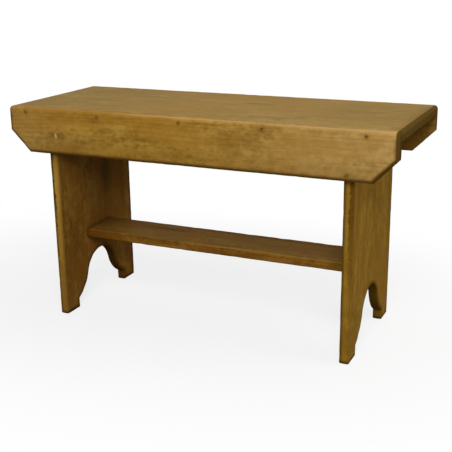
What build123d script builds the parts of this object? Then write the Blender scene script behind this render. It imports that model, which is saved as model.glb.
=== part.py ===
"""Bucket bench: six pine boards and their cut nails, in millimetres.

The origin is on the floor under the middle of the bench, with +X along the seat, +Y towards the back and +Z up.
The seat board lies between two aprons that are flush with its top. Two plank legs stand between the aprons, with
their top ends housed in dados under the seat, and a flat stretcher is tenoned into both legs.
"""

from build123d import *
import os

# Overall size of the bench
bench_length = 914.0
bench_depth = 356.0
bench_height = 508.0

# Seat board
seat_thickness = 22.0
dado_depth = 4.0
dado_clearance = 0.1

# Aprons, with their lower corners cut off
apron_thickness = 20.0
apron_height = 106.0
end_cut_length = 50.0
end_cut_height = 50.0

# Legs: the outer face of each stands this far in from the seat's end
leg_inset = 92.0
leg_thickness = 22.0
leg_arris_radius = 4.0

# Ogee cut-out that leaves two feet on each leg
cutout_height = 125.0
arch_radius = 63.0
arch_half_angle = 74.0
toe_spread = 106.0
toe_height = 24.0

# Stretcher board, and the stub tenon on each of its ends
stretcher_underside = 168.0
stretcher_width = 114.0
stretcher_thickness = 22.0
tenon_length = 12.0
tenon_width = 84.0
tenon_thickness = 10.0
mortise_end_gap = 0.5
tenon_cheek_clearance = 0.1

# Edges: the round on everything that faces out, and the lighter easing elsewhere
outer_round = 9.0
eased_edge = 1.5
seam_edge = 0.8
stretcher_edge = 3.0
sawn_edge = 3.0

# Cut nails, with heads set just under the face of the apron
nail_length = 50.0
nail_shank_width = 4.0
nail_tip_width = 2.2
nail_shank_thickness = 2.6
nail_head_width = 6.0
nail_head_height = 5.0
nail_head_thickness = 1.6
nail_set_depth = 0.4
seat_nail_drop = 12.0
seat_nail_places = (-409.0, -217.0, -15.0, 175.0, 392.0)
leg_nail_rise = 12.0

# Places that follow from the sizes above
half_length = bench_length / 2
inner_depth = bench_depth - 2 * apron_thickness
seat_underside = bench_height - seat_thickness
apron_underside = bench_height - apron_height
leg_outer_face = half_length - leg_inset
leg_inner_face = leg_outer_face - leg_thickness
leg_middle = leg_outer_face - leg_thickness / 2
leg_top = seat_underside + dado_depth
apron_face = -bench_depth / 2


def box_between(low, high):
    """A box given by its lowest and highest corners."""
    size = [b - a for a, b in zip(low, high)]
    middle = [(a + b) / 2 for a, b in zip(low, high)]
    return Pos(*middle) * Box(*size)


def apron_board():
    """The front apron before it is nailed on: outer face at the front, lower corners cut off."""
    end_bottom = apron_underside + end_cut_height
    cut_end = half_length - end_cut_length
    outline = Polyline(
        (-half_length, bench_height),
        (-half_length, end_bottom),
        (-cut_end, apron_underside),
        (cut_end, apron_underside),
        (half_length, end_bottom),
        (half_length, bench_height),
        close=True,
    )
    back_plane = Plane.XZ.offset(-apron_face - apron_thickness)
    board = extrude(back_plane * make_face(outline), apron_thickness)
    face_edges = board.faces().sort_by(Axis.Y)[0].edges()
    top_end_edges = board.edges().filter_by(Axis.Y).group_by(Axis.Z)[-1]
    board = fillet(face_edges + top_end_edges, outer_round)
    inner_edges = board.faces().sort_by(Axis.Y)[-1].edges()
    return fillet(inner_edges, seam_edge)


def seat_blank():
    """The seat board, with its ends rounded over and a dado across the underside for each leg."""
    board = box_between(
        (-half_length, -inner_depth / 2, seat_underside),
        (half_length, inner_depth / 2, bench_height),
    )
    end_edges = board.edges().filter_by(Axis.Y).group_by(Axis.Z)
    board = fillet(end_edges[-1], outer_round)
    lower_ends = board.edges().filter_by(Axis.Y).group_by(Axis.Z)[0]
    board = fillet(lower_ends, eased_edge)
    seams = board.edges().filter_by(Axis.X).group_by(Axis.Z)[-1]
    board = fillet(seams, seam_edge)
    for side in (-1, 1):
        dado = Box(leg_thickness + 2 * dado_clearance, inner_depth, dado_depth)
        board -= Pos(side * leg_middle, 0, seat_underside + dado_depth / 2) * dado
    return board


def ogee_cutout():
    """The hole between a leg's feet: an arch, a reverse curve down each side, and two upright toes."""
    arch_centre = (0, cutout_height - arch_radius)
    arch = CenterArc(arch_centre, arch_radius, 90 - arch_half_angle, 2 * arch_half_angle)
    flare = TangentArc(arch @ 1, (-toe_spread, toe_height), tangent=arch % 1)
    toe = Line(flare @ 1, (-toe_spread, -toe_height))
    other_flare = mirror(flare, about=Plane.YZ)
    other_toe = mirror(toe, about=Plane.YZ)
    base = Line((-toe_spread, -toe_height), (toe_spread, -toe_height))
    hole = Plane.YZ * make_face([arch, flare, toe, base, other_toe, other_flare])
    return Pos(leg_inner_face - leg_thickness, 0, 0) * extrude(hole, 3 * leg_thickness)


def stretcher_mortise():
    """The blind hole in the right leg's inner face for the stretcher's tenon."""
    middle_height = stretcher_underside + stretcher_thickness / 2
    depth = tenon_length + mortise_end_gap
    hole = Box(
        depth,
        tenon_width + 2 * tenon_cheek_clearance,
        tenon_thickness + 2 * tenon_cheek_clearance,
    )
    return Pos(leg_inner_face + depth / 2, 0, middle_height) * hole


def is_on_cutout(edge):
    """Whether an edge of a leg's broad face follows the ogee cut-out."""
    place = edge.center()
    within = abs(place.Y) <= toe_spread + sawn_edge
    return within and sawn_edge < place.Z < cutout_height + sawn_edge


def leg_blank():
    """The right leg: a plank with a square top between the aprons, the ogee cut-out and the mortise."""
    post = box_between(
        (leg_inner_face, -inner_depth / 2, 0),
        (leg_outer_face, inner_depth / 2, apron_underside),
    )
    post = fillet(post.edges().filter_by(Axis.Z), leg_arris_radius)
    top = box_between(
        (leg_inner_face, -inner_depth / 2, apron_underside),
        (leg_outer_face, inner_depth / 2, leg_top),
    )
    leg = post + top - ogee_cutout()
    faces = leg.faces().filter_by(Axis.X)
    cut_edges = [edge for edge in faces.edges() if is_on_cutout(edge)]
    foot_edges = leg.edges().group_by(Axis.Z)[0]
    leg = fillet(cut_edges + foot_edges, sawn_edge)
    return leg - stretcher_mortise()


def stretcher_board():
    """The flat board between the legs, with eased arrises and a stub tenon on each end."""
    board = box_between(
        (-leg_inner_face, -stretcher_width / 2, stretcher_underside),
        (leg_inner_face, stretcher_width / 2, stretcher_underside + stretcher_thickness),
    )
    board = fillet(board.edges().filter_by(Axis.X), stretcher_edge)
    middle_height = stretcher_underside + stretcher_thickness / 2
    tenons = Box(2 * (leg_inner_face + tenon_length), tenon_width, tenon_thickness)
    return board + Pos(0, 0, middle_height) * tenons


def cut_nail():
    """A cut nail with its head at the origin and its point towards +Y, tapered across the grain of the apron."""
    head = box_between(
        (-nail_head_width / 2, 0, -nail_head_height / 2),
        (nail_head_width / 2, nail_head_thickness, nail_head_height / 2),
    )
    outline = Polyline(
        (-nail_shank_width / 2, nail_head_thickness),
        (nail_shank_width / 2, nail_head_thickness),
        (nail_tip_width / 2, nail_length),
        (-nail_tip_width / 2, nail_length),
        close=True,
    )
    shank = extrude(make_face(outline), nail_shank_thickness / 2, both=True)
    return head + shank


def nail_hole():
    """What one nail takes out of the boards: the nail itself and the dent over its set head."""
    dent = box_between(
        (-nail_head_width / 2, -nail_set_depth, -nail_head_height / 2),
        (nail_head_width / 2, 0, nail_head_height / 2),
    )
    return cut_nail() + dent


def nail_places():
    """Where each front nail's head goes: a row into the seat's edge, and one low nail into each leg."""
    head_face = apron_face + nail_set_depth
    seat_row = [Pos(x, head_face, bench_height - seat_nail_drop) for x in seat_nail_places]
    leg_pair = [Pos(side * leg_middle, head_face, apron_underside + leg_nail_rise) for side in (-1, 1)]
    return seat_row, leg_pair


def mirrored_to_back(shape):
    """The same shape at the back of the bench."""
    return mirror(shape, about=Plane.XZ)


def mirrored_to_left(shape):
    """The same shape at the left end of the bench."""
    return mirror(shape, about=Plane.YZ)


def bench_parts():
    """Every board with its nail holes, and the nails in four groups, by node name."""
    seat_row, leg_pair = nail_places()
    front_holes = [place * nail_hole() for place in seat_row + leg_pair]
    back_holes = [mirrored_to_back(hole) for hole in front_holes]
    front_apron = apron_board() - front_holes
    right_leg = leg_blank()
    left_leg = mirrored_to_left(right_leg)
    front_seat_nails = [place * cut_nail() for place in seat_row]
    front_leg_nails = [place * cut_nail() for place in leg_pair]
    return {
        "seat_board": seat_blank() - front_holes - back_holes,
        "front_apron": front_apron,
        "back_apron": mirrored_to_back(front_apron),
        "left_leg": left_leg - front_holes - back_holes,
        "right_leg": right_leg - front_holes - back_holes,
        "stretcher": stretcher_board(),
        "front_seat_nails": Compound(front_seat_nails),
        "back_seat_nails": Compound([mirrored_to_back(nail) for nail in front_seat_nails]),
        "front_leg_nails": Compound(front_leg_nails),
        "back_leg_nails": Compound([mirrored_to_back(nail) for nail in front_leg_nails]),
    }


os.makedirs("parts", exist_ok=True)
for node, shape in bench_parts().items():
    export_step(shape, f"parts/{node}.step")
    solids = shape.solids()
    print(node, len(solids), round(sum(solid.volume for solid in solids)))
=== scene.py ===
"""Bucket bench: worn boards of stained pine, dark cut nails, a pale floor and soft light.

Lengths are in metres, and colours are linear.
"""

import math
from collections import namedtuple

import bmesh
import bpy
from mathutils import Matrix, Vector, kdtree, noise


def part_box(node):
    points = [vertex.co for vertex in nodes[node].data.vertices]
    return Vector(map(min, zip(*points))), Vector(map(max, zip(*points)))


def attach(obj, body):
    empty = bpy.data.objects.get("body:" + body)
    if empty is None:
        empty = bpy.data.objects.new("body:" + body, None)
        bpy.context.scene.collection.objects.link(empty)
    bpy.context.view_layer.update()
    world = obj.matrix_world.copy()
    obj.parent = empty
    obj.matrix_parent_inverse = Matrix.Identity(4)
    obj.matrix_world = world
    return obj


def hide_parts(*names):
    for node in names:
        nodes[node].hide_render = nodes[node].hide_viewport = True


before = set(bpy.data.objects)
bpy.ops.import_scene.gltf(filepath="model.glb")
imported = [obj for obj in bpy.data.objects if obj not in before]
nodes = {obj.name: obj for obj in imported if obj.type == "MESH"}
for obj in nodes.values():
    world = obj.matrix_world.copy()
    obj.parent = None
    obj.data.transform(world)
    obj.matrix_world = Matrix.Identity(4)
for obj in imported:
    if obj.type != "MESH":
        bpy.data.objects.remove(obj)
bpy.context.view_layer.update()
apron_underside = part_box("front_apron")[0].z
low_nails_top = apron_underside + 0.02
leg_low, leg_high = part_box("right_leg")
leg_middle = (leg_low.x + leg_high.x) / 2
leg_half_depth = leg_high.y


# --------------------------------------------------------------------------------------------------
# Shader expressions

class Field:
    """One output of a shader node. Arithmetic on fields adds Math nodes."""

    def __init__(self, finish, socket):
        self.finish = finish
        self.socket = socket

    def __add__(self, other):
        return self.finish.math("ADD", self, other)

    def __radd__(self, other):
        return self.finish.math("ADD", other, self)

    def __sub__(self, other):
        return self.finish.math("SUBTRACT", self, other)

    def __rsub__(self, other):
        return self.finish.math("SUBTRACT", other, self)

    def __mul__(self, other):
        return self.finish.math("MULTIPLY", self, other)

    def __rmul__(self, other):
        return self.finish.math("MULTIPLY", other, self)

    def __truediv__(self, other):
        return self.finish.math("DIVIDE", self, other)

    def __abs__(self):
        return self.finish.math("ABSOLUTE", self)


class Finish:
    """The nodes of a material or of the surroundings, while they are written."""

    def __init__(self, owner):
        owner.use_nodes = True
        self.owner = owner
        self.tree = owner.node_tree
        self.tree.nodes.clear()
        self.place = self.node("ShaderNodeTexCoord", output="Object")

    def node(self, kind, settings=None, inputs=None, output=0):
        """Adds a node with its settings and its sockets' values or links, and gives one output."""
        made = self.tree.nodes.new(kind)
        for key, value in (settings or {}).items():
            setattr(made, key, value)
        for key, value in (inputs or {}).items():
            self.feed(made.inputs[key], value)
        return Field(self, made.outputs[output])

    def feed(self, socket, value):
        """Links a field to a socket, or sets the socket's value. A colour gets a full alpha."""
        if isinstance(value, Field):
            self.tree.links.new(value.socket, socket)
        elif socket.type == "RGBA" and len(value) == 3:
            socket.default_value = (*value, 1.0)
        else:
            socket.default_value = value

    def math(self, operation, *values):
        return self.node("ShaderNodeMath", {"operation": operation}, dict(enumerate(values)))

    def larger(self, one, other):
        return self.math("MAXIMUM", one, other)

    def vector(self, operation, *values, output=0):
        settings = {"operation": operation}
        return self.node("ShaderNodeVectorMath", settings, dict(enumerate(values)), output)

    def combine(self, *values):
        return self.node("ShaderNodeCombineXYZ", inputs=dict(enumerate(values)))

    def length(self, *parts):
        """The length of the vector that the parts make."""
        return self.vector("LENGTH", self.combine(*parts), output="Value")

    def split(self, vector):
        """A vector's parts, by the name of their axis."""
        parts = self.node("ShaderNodeSeparateXYZ", inputs={0: vector}).socket.node
        return {axis: Field(self, output) for axis, output in zip("XYZ", parts.outputs)}

    def step(self, value, low, high):
        """0 below low, 1 above high and smooth between them. With low above high it falls."""
        if low > high:
            return 1.0 - self.step(value, high, low)
        settings = {"interpolation_type": "SMOOTHSTEP"}
        inputs = {"Value": value, "From Min": low, "From Max": high}
        return self.node("ShaderNodeMapRange", settings, inputs)

    def noise(self, vector, scale=1.0, detail=2.0, roughness=0.5):
        inputs = {"Vector": vector, "Scale": scale, "Detail": detail, "Roughness": roughness}
        return self.node("ShaderNodeTexNoise", inputs=inputs)

    def attribute(self, name):
        return self.node("ShaderNodeAttribute", {"attribute_name": name}, output="Fac")

    def mix(self, share, low, high):
        """The low colour where the share is 0 and the high one where it is 1."""
        # The Mix node's sockets have the same names for each type, so these go by number.
        factor, colour_a, colour_b, result = 0, 6, 7, 2
        inputs = {factor: share, colour_a: low, colour_b: high}
        return self.node("ShaderNodeMix", {"data_type": "RGBA"}, inputs, result)

    def bump(self, strength, distance, height):
        inputs = {"Strength": strength, "Distance": distance, "Height": height}
        return self.node("ShaderNodeBump", inputs=inputs)

    def show(self, shader, output="ShaderNodeOutputMaterial"):
        """Ends the nodes with a shader, and gives the material or world that they belong to."""
        end = self.tree.nodes.new(output)
        self.tree.links.new(shader.socket, end.inputs["Surface"])
        return self.owner

    def surface(self, inputs):
        return self.show(self.node("ShaderNodeBsdfPrincipled", inputs=inputs))


def darker(colour, share):
    """A colour with a share of its brightness."""
    return tuple(share * channel for channel in colour)


def grey(level):
    return (level, level, level)


# --------------------------------------------------------------------------------------------------
# What the boards are made of

# Knots and marks lie at a place along and across their board.
Knot = namedtuple("Knot", "along across radius fill")
Mark = namedtuple("Mark", "along across length width share")

# The colours of a stained board: most of it, its dark grain, its clouds, its arrises, end grain and
# dark marks. The arris colour is wear with a painted highlight on the pale stains and painted shade
# on the legs'; the end grain colour also holds painted shade.
Stain = namedtuple("Stain", "pale deep warm edge end mark")
golden = Stain(
    pale=(0.407, 0.234, 0.037),
    deep=(0.190, 0.092, 0.010),
    warm=(0.338, 0.168, 0.019),
    edge=(0.462, 0.302, 0.109),
    end=(0.067, 0.0335, 0.0052),
    mark=(0.137, 0.058, 0.005),
)
tan = Stain(
    pale=(0.350, 0.222, 0.055),
    deep=(0.215, 0.125, 0.024),
    warm=(0.315, 0.180, 0.034),
    edge=(0.380, 0.240, 0.064),
    end=(0.098, 0.056, 0.012),
    mark=(0.150, 0.088, 0.014),
)
olive = Stain(
    pale=(0.344, 0.189, 0.022),
    deep=(0.150, 0.076, 0.007),
    warm=(0.270, 0.125, 0.012),
    edge=(0.110, 0.050, 0.006),
    end=(0.150, 0.080, 0.010),
    mark=(0.098, 0.052, 0.004),
)
umber = Stain(
    pale=(0.282, 0.138, 0.020),
    deep=(0.115, 0.049, 0.006),
    warm=(0.225, 0.088, 0.010),
    edge=(0.140, 0.060, 0.007),
    end=(0.120, 0.055, 0.008),
    mark=(0.070, 0.041, 0.0045),
)
russet = Stain(
    pale=(0.268, 0.126, 0.017),
    deep=(0.098, 0.037, 0.004),
    warm=(0.232, 0.071, 0.006),
    edge=(0.340, 0.176, 0.034),
    end=(0.090, 0.040, 0.006),
    mark=(0.058, 0.026, 0.003),
)

# The paler tones that a stain's pale, deep and warm colours turn to towards a board's ends
paler_tones = ((0.440, 0.272, 0.085), (0.265, 0.152, 0.038), (0.400, 0.222, 0.056))
wood_filler = (0.60, 0.42, 0.15)
iron_stain = (0.110, 0.052, 0.011)
fresh_rust = (0.235, 0.105, 0.018)
old_rust = (0.140, 0.057, 0.008)

# How strongly each field darkens a board
Grain = namedtuple("Grain", "line streak fibre mottle figure cloud")
lively = Grain(line=0.28, streak=1.15, fibre=0.55, mottle=1.1, figure=1.5, cloud=1.0)
upright = Grain(line=0.22, streak=0.65, fibre=0.32, mottle=0.8, figure=1.2, cloud=1.2)
soft = Grain(line=0.14, streak=0.42, fibre=0.18, mottle=0.6, figure=0.9, cloud=1.3)
quiet = Grain(line=0.08, streak=0.50, fibre=0.25, mottle=0.7, figure=1.3, cloud=1.3)
streaky = Grain(line=0.45, streak=1.10, fibre=0.45, mottle=0.8, figure=1.0, cloud=0.9)

# The axes name a board's directions along its length, across its face and through its thickness.
# The heart is where the tree's middle lies, across and through. A strip is how strong the golden
# painted highlight along a leg's narrow faces is. A board can grow darker towards one end, starting
# and full at two places along it, with a share: painted shade at the seat's rounded right end, and
# darker towards the stretcher's left end.
Board = namedtuple(
    "Board",
    "node axes heart ring_gap stain grain seed sheen "
    "faded strip dusty dirt rubbed_from knots marks nails",
    defaults=(0.0, 0.0, 0.0, None, -1.0, (), (), ()),
)


# --------------------------------------------------------------------------------------------------
# Stained pine

def nail_heads(name, face_depth=0.0005, least_gap=0.02):
    """The middle of each nail's head in a node: its outermost face, one per nail along X."""
    points = [v.co for v in nodes[name].data.vertices]
    outermost = max(abs(p.y) for p in points)
    heads = sorted((p for p in points if abs(p.y) > outermost - face_depth), key=lambda p: p.x)
    clusters = [[heads[0]]]
    for point in heads[1:]:
        if point.x - clusters[-1][-1].x > least_gap:
            clusters.append([])
        clusters[-1].append(point)
    return [sum(cluster, Vector()) / len(cluster) for cluster in clusters]


def is_filled(head):
    """Whether a nail's head was filled and stained over: the low ones at the left leg."""
    return head.x < 0.0 and head.z < low_nails_top


class Wood:
    """Where a point lies in its board, which way it faces, and the noises the wood has there."""

    def __init__(self, finish, board):
        place = finish.split(finish.place)
        self.finish = finish
        self.along, self.across, self.through = [place[axis] for axis in board.axes]
        seed_step = 3.7
        from_seed = self.along + board.seed * seed_step
        self.grown = finish.combine(from_seed, self.across, self.through)
        self.sway = self.noise(1.6, 7.0, detail=1.0)
        self.ripple = self.noise(9.0, 38.0)
        self.fibre = self.noise(14.0, 520.0, detail=3.0, roughness=0.6)
        self.streak = self.noise(5.5, 110.0, detail=3.0)
        self.mottle = self.noise(95.0, 120.0)
        self.figure = self.noise(42.0, 60.0)
        self.cloud = self.noise(9.0, 26.0)
        self.drift = self.noise(4.5, 11.0, detail=1.0)
        self.facing = finish.split(finish.node("ShaderNodeNewGeometry", output="Normal"))
        self.broad = abs(self.facing[board.axes[2]])
        self.wear = finish.attribute("wear")
        self.near = finish.attribute("near")

    def noise(self, lengthwise, crosswise, detail=2.0, roughness=0.55):
        """Noise round 0, with its scale along the grain and its scale across it."""
        scales = (lengthwise, crosswise, crosswise)
        stretched = self.finish.vector("MULTIPLY", self.grown, scales)
        return self.finish.noise(stretched, detail=detail, roughness=roughness) - 0.5


def knot_fields(finish, board, wood):
    """How far the knots push the grain aside, and the shares of their hearts, rims and filler."""
    wobble = wood.ripple * 2.0 + wood.mottle * 2.0
    push, heart, rim, filler = 0.0, 0.0, 0.0, 0.0
    for knot in board.knots:
        size = knot.radius
        ahead = wood.along - knot.along
        aside = wood.across - knot.across
        away = finish.length(ahead * 0.62, aside) + wobble * size
        push = push + 0.011 * finish.step(away, size * 4.5, 0.0)
        rim = finish.larger(rim, finish.step(away, size * 2.6, size * 0.8))
        if knot.fill:
            leaning = (ahead + 0.2 * aside) * 1.8
            fleck = finish.length(leaning, aside * 0.80) + wobble * size * 2.4
            filler = finish.larger(filler, finish.step(fleck, size * 1.10, size * 0.2))
        else:
            heart = finish.larger(heart, finish.step(away, size * 1.05, size * 0.7))
    return push, heart, rim, filler


def soft_marks(finish, board, wood):
    """Long dark clouds on the board, each fading out from its middle."""
    wobble = 1.6 * wood.cloud + 0.8 * wood.figure + 1.2 * wood.streak
    shade = 0.0
    for mark in board.marks:
        ahead = (wood.along - mark.along) / mark.length
        aside = (wood.across - mark.across) / mark.width
        away = finish.length(ahead, aside) + wobble
        shade = finish.larger(shade, mark.share * finish.step(away, 1.0, 0.3))
    return shade


def nail_stain(finish, board):
    """The black that iron leaves in the wood round each nail."""
    stain = 0.0
    for name in board.nails:
        for head in nail_heads(name):
            if not is_filled(head):
                away = finish.vector("DISTANCE", finish.place, tuple(head), output="Value")
                stain = finish.larger(stain, finish.step(away, 0.0085, 0.0025))
    return stain


def growth_line(finish, board, wood, push):
    """The dark late wood of the growth rings round the tree's heart, as the faces cut them."""
    heart_across, heart_through = board.heart
    spoke = finish.length(wood.across - heart_across, wood.through - heart_through)
    radius = spoke + wood.sway * 0.034 + wood.ripple * 0.0035 + push
    phase = finish.math("FRACT", radius / board.ring_gap)
    late = finish.step(phase, 0.25, 0.86) * finish.step(phase, 1.0, 0.9)
    return late * (0.25 + 0.75 * finish.step(wood.cloud + wood.drift, -0.16, 0.12))


def grained_colour(finish, board, wood, line):
    """The stain over the grain, on some boards paler towards both ends, most towards the right."""
    tones = (board.stain.pale, board.stain.deep, board.stain.warm)
    if board.faded:
        place = wood.along + 0.25 * wood.drift
        right = finish.step(place, -0.06, 0.42)
        left = 0.5 * finish.step(place, -0.22, -0.40)
        paler = board.faded * finish.larger(right, left)
        tones = [finish.mix(paler, own, weak) for own, weak in zip(tones, paler_tones)]
    pale, deep, warm = tones
    depth = 0.22
    fields = (line, wood.streak, wood.fibre, wood.mottle, wood.figure, wood.cloud)
    for share, field in zip(board.grain, fields):
        depth = depth + share * field
    colour = finish.mix(finish.step(depth, -0.35, 0.95), pale, deep)
    warmth = finish.step(wood.drift + 0.7 * wood.cloud + 0.3 * wood.figure, -0.12, 0.12)
    return finish.mix(0.6 * warmth, colour, warm)


def arris_wear_and_light_share(finish, board, wood):
    """How much the arrises are worn and carry painted light (a painted highlight on pale stains,
    painted shade on the legs' dark ones), in patches, and less before one place along.
    """
    patchy = wood.broad + 0.12 * wood.cloud + 0.12 * wood.figure
    turning = finish.step(wood.broad, 0.12, 0.38) * finish.step(patchy, 0.98, 0.45)
    start = board.rubbed_from
    beyond = finish.step(wood.along + 0.3 * wood.drift, start, start + 0.3)
    return wood.wear * turning * (0.15 + 0.85 * beyond)


def leg_edge_fields(finish, board, wood):
    """Masks for a leg's golden painted highlight strip along a narrow face, the dark rims of
    painted shade beside it, and its sawn faces, which get painted shade.
    """
    wander = 0.008 * wood.ripple + 0.010 * wood.mottle
    outward = abs(wood.through) - leg_middle
    inset = leg_half_depth - abs(wood.across)

    narrow = finish.step(inset, 0.006, 0.0015)
    within = finish.step(outward + wander, 0.0045, 0.0015) * finish.step(outward, -0.0112, -0.0085)
    strip = narrow * within

    # Dark rims of painted shade beside the strip and on the broad faces by the front arris.
    up_the_leg = finish.step(wood.along, 0.12, 0.36)
    outer = (0.05 + 0.95 * up_the_leg) * finish.step(outward + wander, 0.0015, 0.0048)
    inner = (1.0 - board.strip) * finish.step(outward + 0.3 * wander, -0.0029, -0.0064)
    front = finish.step(inset, 0.010, 0.004) * finish.larger(outer, inner)
    broad = 0.8 * finish.step(wood.broad, 0.6, 0.9) * finish.step(wood.across, -0.150, -0.138)
    beside = broad * finish.step(wood.near + 4.0 * wander, 0.40, 0.85)
    rims = finish.larger(front, beside)

    # The sawn faces of the cut-out and feet are darkened as painted shade, less down at the toes.
    above_toes = finish.step(wood.along, 0.020, 0.065)
    sawn = finish.step(wood.broad, 0.93, 0.55) * finish.step(inset, 0.006, 0.016)
    return strip, rims, sawn * (0.62 + 0.38 * above_toes)


def leg_colour(finish, board, wood, colour):
    """A leg's narrow faces with their golden painted highlight strip and dark rims of painted
    shade, and painted shade on its sawn faces and the bottoms of its feet.
    """
    deep = board.stain.deep
    strip, rims, sawn = leg_edge_fields(finish, board, wood)
    # The strip fades near the foot, and is halved under the apron as painted shadow of the apron.
    off_the_foot = finish.step(wood.along + 0.4 * wood.drift, 0.08, 0.22)
    below_apron = finish.step(wood.along, 0.385, 0.345)
    fading = (0.35 + 0.65 * off_the_foot) * (0.5 + 0.5 * below_apron)
    narrow = finish.step(abs(wood.across) + 0.02 * wood.ripple, 0.135, 0.156)
    # The bottom of each foot is darkened as painted shade of its lower edge.
    foot = finish.step(wood.along + 0.010 * wood.ripple, 0.010, 0.002)
    colour = finish.mix((0.25 + wood.figure) * narrow, colour, deep)
    # A golden painted highlight along the middle of the narrow faces.
    colour = finish.mix((board.strip + 1.2 * wood.figure) * strip * fading, colour, golden.pale)
    # Painted shade along the rims.
    colour = finish.mix((0.85 + 0.8 * wood.mottle) * rims, colour, darker(deep, 0.60))
    # Painted shade on the sawn faces.
    colour = finish.mix(0.84 * sawn, colour, darker(deep, 0.28))
    return finish.mix(0.80 * foot, colour, darker(deep, 0.28))


def apron_colour(finish, board, wood, colour):
    """An apron's inner face darkened as painted shade, and a dark rim of painted shade beside its
    arrises below the seat's seam.
    """
    deep = board.stain.deep
    # The inner face is darkened as painted shade.
    inner_face_shade = finish.step(wood.facing["Y"] * wood.through, 0.0, -0.08)
    below_seam = finish.step(wood.across, 0.496, 0.484)
    # A dark rim of painted shade beside the arrises.
    rim = finish.step(wood.near + 0.1 * wood.mottle, 0.72, 1.0) * below_seam
    colour = finish.mix(0.50 * inner_face_shade, colour, darker(deep, 0.7))
    return finish.mix(0.40 * rim, colour, darker(deep, 0.6))


def stained_pine(board):
    """Growth rings cut by the board's faces, under a stain with marks and wear, and with painted
    light: highlights and shade at the arrises, a paler top on the stretcher, a shaded end on the
    seat, and shade on end grain, underneath and in corners.
    """
    finish = Finish(bpy.data.materials.new(f"{board.node}_pine"))
    wood = Wood(finish, board)
    deep = board.stain.deep
    push, heart, rim, filler = knot_fields(finish, board, wood)
    line = growth_line(finish, board, wood, push)
    arris_wear_and_light = arris_wear_and_light_share(finish, board, wood)
    colour = grained_colour(finish, board, wood, line)
    colour = finish.mix(soft_marks(finish, board, wood), colour, board.stain.mark)
    colour = finish.mix(0.6 * rim, colour, darker(deep, 0.7))
    colour = finish.mix(0.82 * heart, colour, darker(deep, 0.5))
    if any(knot.fill for knot in board.knots):
        colour = finish.mix((0.85 + 1.6 * wood.mottle) * filler, colour, wood_filler)
    if board.strip:
        colour = leg_colour(finish, board, wood, colour)
        arris_wear_and_light = arris_wear_and_light * finish.step(abs(wood.across), 0.12, 0.14)
    if board.axes[2] == "Y":
        colour = apron_colour(finish, board, wood, colour)
    # Upward faces are tinted paler: painted light on the stretcher's top.
    if board.dusty:
        upward = finish.step(wood.facing["Z"], 0.6, 0.95)
        colour = finish.mix(board.dusty * upward, colour, tan.pale)
    # Darker towards one end: painted shade at the seat's rounded right end, and darker towards the
    # stretcher's left end.
    if board.dirt:
        start, full, share = board.dirt
        dirt = finish.step(wood.along + 0.05 * wood.drift, start, full)
        colour = finish.mix(share * dirt, colour, darker(deep, 0.8))
    # Worn arrises with painted light: a painted highlight on the pale stains, painted shade on the
    # legs'.
    colour = finish.mix(0.69 * arris_wear_and_light, colour, board.stain.edge)
    if board.nails:
        colour = finish.mix(0.42 * nail_stain(finish, board), colour, iron_stain)

    # End grain is darker, and darker still as painted shade on the end faces.
    ends = finish.step(abs(wood.facing[board.axes[0]]) + 0.1 * wood.cloud, 0.02, 0.36)
    # Faces turned downwards are darkened as painted shade.
    below = finish.step(0.0 - wood.facing["Z"], 0.05, 0.38)
    # Painted shade in corners and nooks, from ambient occlusion.
    nook = finish.node("ShaderNodeAmbientOcclusion", {"samples": 8}, {"Distance": 0.022}, "AO")
    painted_corner_shade = finish.step(nook, 0.80, 0.3)
    colour = finish.mix(0.94 * ends, colour, board.stain.end)
    colour = finish.mix(0.82 * below, colour, darker(deep, 0.5))
    colour = finish.mix(0.75 * painted_corner_shade, colour, darker(deep, 0.35))

    relief = 0.30 * line + 0.42 * wood.fibre + 0.5 * wood.streak
    relief = relief + 0.6 * wood.ripple + 0.4 * wood.mottle - 0.2 * rim
    return finish.surface({
        "Base Color": colour,
        "Roughness": 0.54 + 0.10 * line - 0.10 * arris_wear_and_light + 0.10 * wood.fibre,
        "Normal": finish.bump(0.35, 0.0012, relief),
        "Specular IOR Level": 0.0,
        "Coat Weight": board.sheen * (1.0 - ends) * (1.0 - below),
        "Coat Roughness": 0.5,
        "Coat IOR": 1.2,
    })


# --------------------------------------------------------------------------------------------------
# Iron

def dark_iron():
    """Cut nails browned by rust, with the low ones at the left leg filled and stained over."""
    finish = Finish(bpy.data.materials.new("dark_iron"))
    speck = finish.noise(finish.place, scale=900.0, detail=3.0, roughness=0.6)
    bloom = finish.noise(finish.place, scale=260.0)
    rust = finish.step(speck * 0.6 + bloom * 0.4, 0.40, 0.60)
    place = finish.split(finish.place)
    low_down = finish.step(place["Z"], low_nails_top + 0.01, low_nails_top)
    filled = finish.step(place["X"], 0.02, -0.02) * low_down
    colour = finish.mix(rust, old_rust, fresh_rust)
    return finish.surface({
        "Base Color": finish.mix(filled, colour, golden.warm),
        "Roughness": 0.55 + 0.3 * rust,
        "Normal": finish.bump(0.4, 0.0003, speck),
        "Specular IOR Level": 0.04,
    })


# --------------------------------------------------------------------------------------------------
# Boards with worn arrises

Cut = namedtuple("Cut", "axis gap")

merge_distance = 1e-6
sliver_length = 1e-5
flat_angle = math.radians(0.4)
sharp_angle = math.radians(35)

# A face is a broad one or a side by its normal's part through the board. Between two faces at a
# crisp edge the cosine is less than this.
side_limit, broad_limit = 0.04, 0.998
crisp_cosine = 0.87

# How far wear and the dark rims of painted shade reach from an arris, and where wear starts and is
# full beside the middle of a nail's head and beside another board
wear_reach = 0.010
rim_reach = 0.016
clear_of_nail = (0.005, 0.013)
clear_of_joint = (0.002, 0.010)

dent_scale = 55.0
sweep_scale = 14.0


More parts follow.
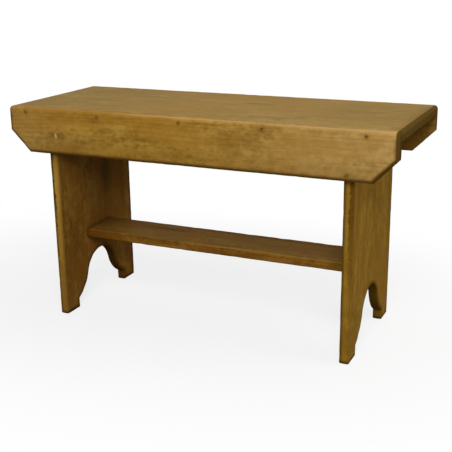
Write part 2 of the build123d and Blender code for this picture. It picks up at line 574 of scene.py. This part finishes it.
def sliced(mesh, cuts):
    """Cuts the mesh by evenly spaced planes, so that it can be worn and still keeps its shape."""
    for cut in cuts:
        index = "XYZ".index(cut.axis)
        low = min(v.co[index] for v in mesh.verts)
        high = max(v.co[index] for v in mesh.verts)
        normal = Vector([float(i == index) for i in range(3)])
        count = int((high - low) / cut.gap)
        for k in range(1, count):
            at = normal * (low + (high - low) * k / count)
            everything = mesh.verts[:] + mesh.edges[:] + mesh.faces[:]
            bmesh.ops.bisect_plane(
                mesh, geom=everything, dist=merge_distance, plane_co=at, plane_no=normal
            )


def cut_finely(mesh, cuts):
    """Merges what lies flat, and cuts the rest small enough to be worn."""
    bmesh.ops.remove_doubles(mesh, verts=mesh.verts[:], dist=merge_distance)
    bmesh.ops.dissolve_limit(
        mesh, angle_limit=flat_angle, verts=mesh.verts[:], edges=mesh.edges[:]
    )
    sliced(mesh, cuts)
    bmesh.ops.dissolve_degenerate(mesh, edges=mesh.edges[:], dist=sliver_length)
    mesh.normal_update()


def on_arris(vertex, through):
    """Whether a vertex lies on a round or a crisp edge between a broad face and its sides."""
    normals = [face.normal for face in vertex.link_faces]
    rounded = any(side_limit < abs(normal[through]) < broad_limit for normal in normals)
    crisp = any(normal.dot(normals[0]) < crisp_cosine for normal in normals[1:])
    return rounded or crisp


def ramp(value, low, high):
    """0 at low and 1 at high, straight between them. With low above high it falls."""
    return min(1.0, max(0.0, (value - low) / (high - low)))


def gap_to_box(point, box):
    low, high = box
    return max(max(low[i] - point[i], point[i] - high[i], 0.0) for i in range(3))


def arris_distances(mesh, through):
    """How far each vertex lies from the nearest arris of its board."""
    seeds = [v.co for v in mesh.verts if on_arris(v, through)]
    tree = kdtree.KDTree(len(seeds))
    for index, seed in enumerate(seeds):
        tree.insert(seed, index)
    tree.balance()
    return [tree.find(v.co)[2] for v in mesh.verts]


def wear_weights(mesh, distances, holes, neighbours):
    """1 on the arrises, fading over the faces beside them, and 0 at the nails and the joints."""
    weights = []
    for v, distance in zip(mesh.verts, distances):
        weight = ramp(distance, wear_reach, 0.0) ** 2
        for hole in holes:
            weight *= ramp((v.co - hole).length, *clear_of_nail)
        for box in neighbours:
            weight *= ramp(gap_to_box(v.co, box), *clear_of_joint)
        weights.append(weight)
    return weights


def wear_moves(mesh, board, weights, depth):
    """How far each vertex moves inwards: a slow sweep along the arrises, and dents in them."""
    offset = Vector((board.seed * 5.0, board.seed * 3.0, board.seed))
    moves = []
    for v, weight in zip(mesh.verts, weights):
        dents = 0.5 + 0.5 * noise.noise((v.co + offset) * dent_scale)
        sweep = 0.5 + 0.5 * noise.noise((v.co + offset) * sweep_scale)
        moves.append(v.normal * (-weight * depth * (0.25 * sweep + dents ** 3)))
    return moves


def rub_down(mesh, board, depth):
    """Wears the arrises, and notes how worn and how near an arris each vertex is, for the stain and
    for the painted light and shade along the arrises.
    """
    holes = [head for name in board.nails for head in nail_heads(name)]
    neighbours = [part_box(other.node) for other in boards if other is not board]
    distances = arris_distances(mesh, "XYZ".index(board.axes[2]))
    weights = wear_weights(mesh, distances, holes, neighbours)
    moves = wear_moves(mesh, board, weights, depth)
    wear = mesh.verts.layers.float.new("wear")
    near = mesh.verts.layers.float.new("near")
    for v, move, weight, distance in zip(mesh.verts, moves, weights, distances):
        v.co += move
        v[wear] = weight
        v[near] = ramp(distance, rim_reach, 0.0)


def worn_board(board, cuts, depth):
    """A copy of the board with its arrises worn and dented inwards."""
    piece = bpy.data.objects.new(f"{board.node}_worn", nodes[board.node].data.copy())
    bpy.context.scene.collection.objects.link(piece)
    mesh = bmesh.new()
    mesh.from_mesh(piece.data)
    cut_finely(mesh, cuts)
    rub_down(mesh, board, depth)
    mesh.to_mesh(piece.data)
    mesh.free()
    piece.data.attributes.remove(piece.data.attributes["custom_normal"])
    piece.data.shade_smooth()
    piece.data.set_sharp_from_angle(angle=sharp_angle)
    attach(piece, "root")
    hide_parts(board.node)
    return piece


def dress(piece, material):
    piece.data.materials.clear()
    piece.data.materials.append(material)


# --------------------------------------------------------------------------------------------------
# The bench

boards = [
    Board(
        node="seat_board", axes="XYZ", heart=(0.03, -0.11), ring_gap=0.0052,
        stain=tan, grain=quiet, seed=1.0, sheen=0.40,
        marks=[
            Mark(-0.212, 0.055, 0.080, 0.011, 0.40),
            Mark(0.078, 0.046, 0.055, 0.014, 0.40),
            Mark(0.300, -0.062, 0.100, 0.016, 0.30),
            Mark(-0.300, -0.020, 0.070, 0.012, 0.25),
            Mark(0.370, 0.020, 0.200, 0.170, 0.30),
        ],
        # Painted shade darkening the seat towards its rounded right end.
        dirt=(0.418, 0.460, 0.80),
    ),
    Board(
        node="front_apron", axes="XZY", heart=(0.43, -0.26), ring_gap=0.0048,
        stain=golden, grain=lively, seed=2.0, sheen=0.50,
        faded=0.9,
        rubbed_from=-0.26,
        knots=[Knot(-0.330, 0.4475, 0.0036, True)],
        marks=[
            Mark(-0.225, 0.489, 0.024, 0.011, 0.40),
            Mark(-0.195, 0.466, 0.026, 0.007, 0.35),
            Mark(-0.256, 0.431, 0.032, 0.008, 0.30),
            Mark(-0.345, 0.447, 0.012, 0.012, 0.40),
            Mark(-0.314, 0.444, 0.012, 0.013, 0.40),
            Mark(-0.338, 0.486, 0.022, 0.007, 0.30),
            Mark(0.095, 0.463, 0.030, 0.024, 0.35),
            Mark(-0.160, 0.4965, 0.050, 0.0035, 0.35),
            Mark(0.045, 0.4975, 0.060, 0.0035, 0.35),
            Mark(-0.260, 0.416, 0.150, 0.034, 0.30),
            Mark(0.050, 0.398, 0.600, 0.048, 0.28),
            Mark(0.270, 0.507, 0.200, 0.008, 0.16),
        ],
        nails=["front_seat_nails", "front_leg_nails"],
    ),
    Board(
        node="back_apron", axes="XZY", heart=(0.47, 0.27), ring_gap=0.0050,
        stain=golden, grain=lively, seed=3.0, sheen=0.50,
        knots=[Knot(0.18, 0.45, 0.006, False), Knot(-0.30, 0.47, 0.004, False)],
        nails=["back_seat_nails", "back_leg_nails"],
    ),
    Board(
        node="left_leg", axes="ZYX", heart=(-0.02, -0.47), ring_gap=0.0046,
        stain=umber, grain=upright, seed=4.0, sheen=0.25,
        strip=0.90,
        marks=[
            Mark(0.315, 0.034, 0.090, 0.030, 0.65),
            Mark(0.300, 0.115, 0.120, 0.016, 0.35),
            Mark(0.225, -0.005, 0.090, 0.065, 0.23),
        ],
    ),
    Board(
        node="right_leg", axes="ZYX", heart=(0.03, 0.24), ring_gap=0.0050,
        stain=olive, grain=soft, seed=5.0, sheen=0.20,
        strip=0.12,
        marks=[
            Mark(0.300, 0.128, 0.240, 0.008, 0.35),
            Mark(0.330, -0.122, 0.090, 0.024, 0.30),
            Mark(0.240, -0.112, 0.220, 0.006, 0.25),
            Mark(0.230, 0.010, 0.110, 0.100, 0.10),
        ],
    ),
    Board(
        node="stretcher", axes="XYZ", heart=(0.01, 0.09), ring_gap=0.0042,
        stain=russet, grain=streaky, seed=6.0, sheen=0.20,
        # Painted light on the stretcher's top.
        dusty=0.30,
        # Darker towards its left end, by the left leg.
        dirt=(-0.200, -0.335, 0.52),
        rubbed_from=-0.28,
        marks=[
            # Painted shadow of the left leg at the stretcher's left end.
            Mark(-0.335, 0.020, 0.045, 0.045, 0.80),
            Mark(-0.165, 0.018, 0.110, 0.015, 0.95),
            # Painted shadow along the joint with the left leg.
            Mark(-0.341, 0.010, 0.010, 0.062, 1.00),
            Mark(0.120, 0.044, 0.200, 0.010, 0.70),
            Mark(0.130, -0.008, 0.110, 0.010, 0.50),
        ],
    ),
]
apron_cuts = [Cut("X", 0.006), Cut("Z", 0.010)]
leg_cuts = [Cut("Z", 0.006), Cut("Y", 0.010), Cut("X", 0.0055)]
cuts_by_node = {
    "seat_board": [Cut("X", 0.008), Cut("Y", 0.012)],
    "front_apron": apron_cuts,
    "back_apron": apron_cuts,
    "left_leg": leg_cuts,
    "right_leg": leg_cuts,
    "stretcher": [Cut("X", 0.006), Cut("Y", 0.010), Cut("Z", 0.0055)],
}
usual_wear = 0.0010
wear_by_node = {"seat_board": 0.0008, "stretcher": 0.0012}

for board in boards:
    depth = wear_by_node.get(board.node, usual_wear)
    dress(worn_board(board, cuts_by_node[board.node], depth), stained_pine(board))

iron = dark_iron()
for name in ("front_seat_nails", "back_seat_nails", "front_leg_nails", "back_leg_nails"):
    dress(nodes[name], iron)


# --------------------------------------------------------------------------------------------------
# Floor, light and camera

def pale_floor():
    """A floor that is pale under the bench and fades to plain white away from it."""
    finish = Finish(bpy.data.materials.new("pale_floor"))
    place = finish.split(finish.place)
    beyond = finish.step(finish.length(place["X"] * 0.62, place["Y"]), 0.30, 0.90)
    camera_ray = finish.node("ShaderNodeLightPath", output="Is Camera Ray")
    speckle = finish.noise(finish.place, scale=40.0)
    seen = finish.mix(speckle, grey(0.86), grey(0.90))
    colour = finish.mix(camera_ray, grey(0.42), seen)
    matt = finish.node("ShaderNodeBsdfDiffuse", inputs={"Color": colour})
    glow = {"Color": grey(1.0), "Strength": 1.0}
    white = finish.node("ShaderNodeEmission", inputs=glow)
    share = camera_ray * (0.78 + 0.22 * beyond)
    return finish.show(finish.node("ShaderNodeMixShader", inputs={0: share, 1: matt, 2: white}))


def lay_floor(half):
    mesh = bpy.data.meshes.new("floor")
    corners = [(-half, -half, 0), (half, -half, 0), (half, half, 0), (-half, half, 0)]
    mesh.from_pydata(corners, [], [(0, 1, 2, 3)])
    floor = bpy.data.objects.new("floor", mesh)
    bpy.context.scene.collection.objects.link(floor)
    dress(floor, pale_floor())


def white_surroundings(strength):
    """A dim world for the light, seen as plain white by the camera and in reflections."""
    world = bpy.data.worlds.new("surroundings")
    bpy.context.scene.world = world
    finish = Finish(world)
    seen = 0.0
    for ray in ("Is Camera Ray", "Is Glossy Ray", "Is Transmission Ray"):
        seen = finish.larger(seen, finish.node("ShaderNodeLightPath", output=ray))
    glow = {"Color": grey(1.0), "Strength": strength + (1.0 - strength) * seen}
    white = finish.node("ShaderNodeBackground", inputs=glow)
    finish.show(white, "ShaderNodeOutputWorld")


def soft_lamp(name, place, aim, size, power):
    data = bpy.data.lights.new(name, "AREA")
    data.shape = "SQUARE"
    data.size = size
    data.energy = power
    lamp = bpy.data.objects.new(name, data)
    bpy.context.scene.collection.objects.link(lamp)
    lamp.location = place
    lamp.rotation_mode = "QUATERNION"
    lamp.rotation_quaternion = (Vector(aim) - Vector(place)).to_track_quat("-Z", "Y")


def stand_camera(place, yaw, pitch, roll, lens):
    """Yaw turns the view from +Y towards -X, and pitch tilts it down, in degrees."""
    data = bpy.data.cameras.new("camera")
    data.sensor_width = 36.0
    data.lens = lens
    camera = bpy.data.objects.new("camera", data)
    bpy.context.scene.collection.objects.link(camera)
    aside = Matrix.Rotation(math.radians(yaw), 4, "Z")
    down = Matrix.Rotation(math.pi / 2 - math.radians(pitch), 4, "X")
    over = Matrix.Rotation(math.radians(roll), 4, "Z")
    camera.matrix_world = Matrix.Translation(place) @ (aside @ down @ over)
    bpy.context.scene.camera = camera


lay_floor(half=12.0)
white_surroundings(strength=0.22)
middle = (0.0, 0.0, 0.3)
soft_lamp("key", (0.9, -2.2, 2.0), middle, size=1.4, power=62.0)
soft_lamp("side", (2.5, 0.3, 1.7), middle, size=1.6, power=22.0)
soft_lamp("overhead", (0.3, 0.9, 2.8), middle, size=2.0, power=12.0)
stand_camera((0.83641, -1.77862, 0.82482), yaw=24.91, pitch=17.09, roll=-0.75, lens=69.14)
bpy.context.scene.view_settings.view_transform = "Standard"
